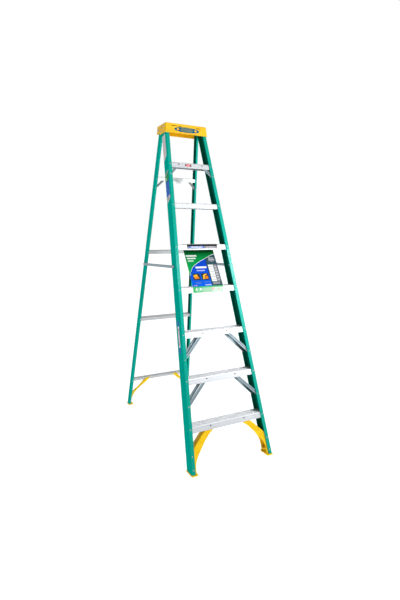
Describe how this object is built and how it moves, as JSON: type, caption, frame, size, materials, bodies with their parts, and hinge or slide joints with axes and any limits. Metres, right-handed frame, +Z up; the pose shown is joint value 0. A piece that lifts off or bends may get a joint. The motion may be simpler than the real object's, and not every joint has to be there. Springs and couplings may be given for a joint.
{
  "type": "fibreglass stepladder",
  "caption": "Folding stepladder with channel rails, flat treads, a moulded top cap and feet, knee braces and two folding spreaders.",
  "frame": {"origin": "on the floor, at the middle of the footprint of the open ladder", "axes": "+Z up; +Y from the climbing side to the rear section; X across the ladder, with +X on the right of somebody facing the treads"},
  "size_m": [0.629, 1.3656, 2.307],
  "materials": {
    "green_fibreglass": "satin, fine lengthwise grain",
    "yellow_moulding": "fine moulded texture",
    "aluminium": "mill finish, ribbed treads",
    "grey_aluminium": "satin",
    "steel": "plated",
    "rubber": "moulded",
    "card": "printed board"
  },
  "bodies": {
    "front_section": {"top_cap": "yellow_moulding", "front_rail_left": "green_fibreglass", "front_rail_right": "green_fibreglass", "step_1": "aluminium", "step_2": "aluminium", "step_3": "aluminium", "step_4": "aluminium", "step_5": "aluminium", "step_6": "aluminium", "step_7": "aluminium", "step_2_front_brace_left": "grey_aluminium", "step_2_front_brace_right": "grey_aluminium", "step_2_rear_brace_left": "grey_aluminium", "step_2_rear_brace_right": "grey_aluminium", "step_3_front_brace_left": "grey_aluminium", "step_3_front_brace_right": "grey_aluminium", "step_3_rear_brace_left": "grey_aluminium", "step_3_rear_brace_right": "grey_aluminium", "step_7_front_brace_left": "grey_aluminium", "step_7_front_brace_right": "grey_aluminium", "front_foot_left": "yellow_moulding", "front_foot_right": "yellow_moulding", "front_foot_pad_left": "rubber", "front_foot_pad_right": "rubber", "cap_bolt_1_left": "steel", "cap_bolt_1_right": "steel", "cap_bolt_2_left": "steel", "cap_bolt_2_right": "steel", "hinge_bolt_left": "steel", "hinge_bolt_right": "steel", "spreader_front_rivet_left": "steel", "spreader_front_rivet_right": "steel", "display_card": "card"},
    "rear_section": {"rear_rail_left": "green_fibreglass", "rear_rail_right": "green_fibreglass", "rear_horizontal_1": "aluminium", "rear_horizontal_2": "aluminium", "rear_horizontal_3": "aluminium", "rear_horizontal_4": "aluminium", "rear_top_brace_left": "aluminium", "rear_top_brace_right": "aluminium", "storage_latch": "aluminium", "rear_foot_left": "yellow_moulding", "rear_foot_right": "yellow_moulding", "rear_foot_pad_left": "rubber", "rear_foot_pad_right": "rubber", "spreader_rear_rivet_left": "steel", "spreader_rear_rivet_right": "steel"},
    "spreader_front_left_link": {"spreader_front_left": "grey_aluminium", "elbow_rivet_outer_left": "steel"},
    "spreader_rear_left_link": {"spreader_rear_left": "grey_aluminium", "elbow_rivet_inner_left": "steel"},
    "spreader_front_right_link": {"spreader_front_right": "grey_aluminium", "elbow_rivet_outer_right": "steel"},
    "spreader_rear_right_link": {"spreader_rear_right": "grey_aluminium", "elbow_rivet_inner_right": "steel"}
  },
  "joints": [
    {"name": "main_fold", "type": "hinge", "parent": "front_section", "child": "rear_section", "pos_m": [0, 0.15277, 2.271], "axis": [-1, 0, 0], "range_deg": [0, 29.83]},
    {"name": "spreader_front_left_pivot", "type": "hinge", "parent": "front_section", "child": "spreader_front_left_link", "pos_m": [-0.229, -0.23041, 1.29334], "axis": [1, 0, 0], "range_deg": [0, 67.86]},
    {"name": "spreader_rear_left_pivot", "type": "hinge", "parent": "rear_section", "child": "spreader_rear_left_link", "pos_m": [-0.225, 0.36996, 1.279], "axis": [-1, 0, 0], "range_deg": [0, 68.5]},
    {"name": "spreader_front_right_pivot", "type": "hinge", "parent": "front_section", "child": "spreader_front_right_link", "pos_m": [0.229, -0.23041, 1.29334], "axis": [1, 0, 0], "range_deg": [0, 67.86]},
    {"name": "spreader_rear_right_pivot", "type": "hinge", "parent": "rear_section", "child": "spreader_rear_right_link", "pos_m": [0.225, 0.36996, 1.279], "axis": [-1, 0, 0], "range_deg": [0, 68.5]}
  ],
  "couplings": [
    {"joint": "spreader_front_left_pivot", "follows": "main_fold", "ratio": 2.2747},
    {"joint": "spreader_rear_left_pivot", "follows": "main_fold", "ratio": 2.2959},
    {"joint": "spreader_front_right_pivot", "follows": "main_fold", "ratio": 2.2747},
    {"joint": "spreader_rear_right_pivot", "follows": "main_fold", "ratio": 2.2959}
  ]
}
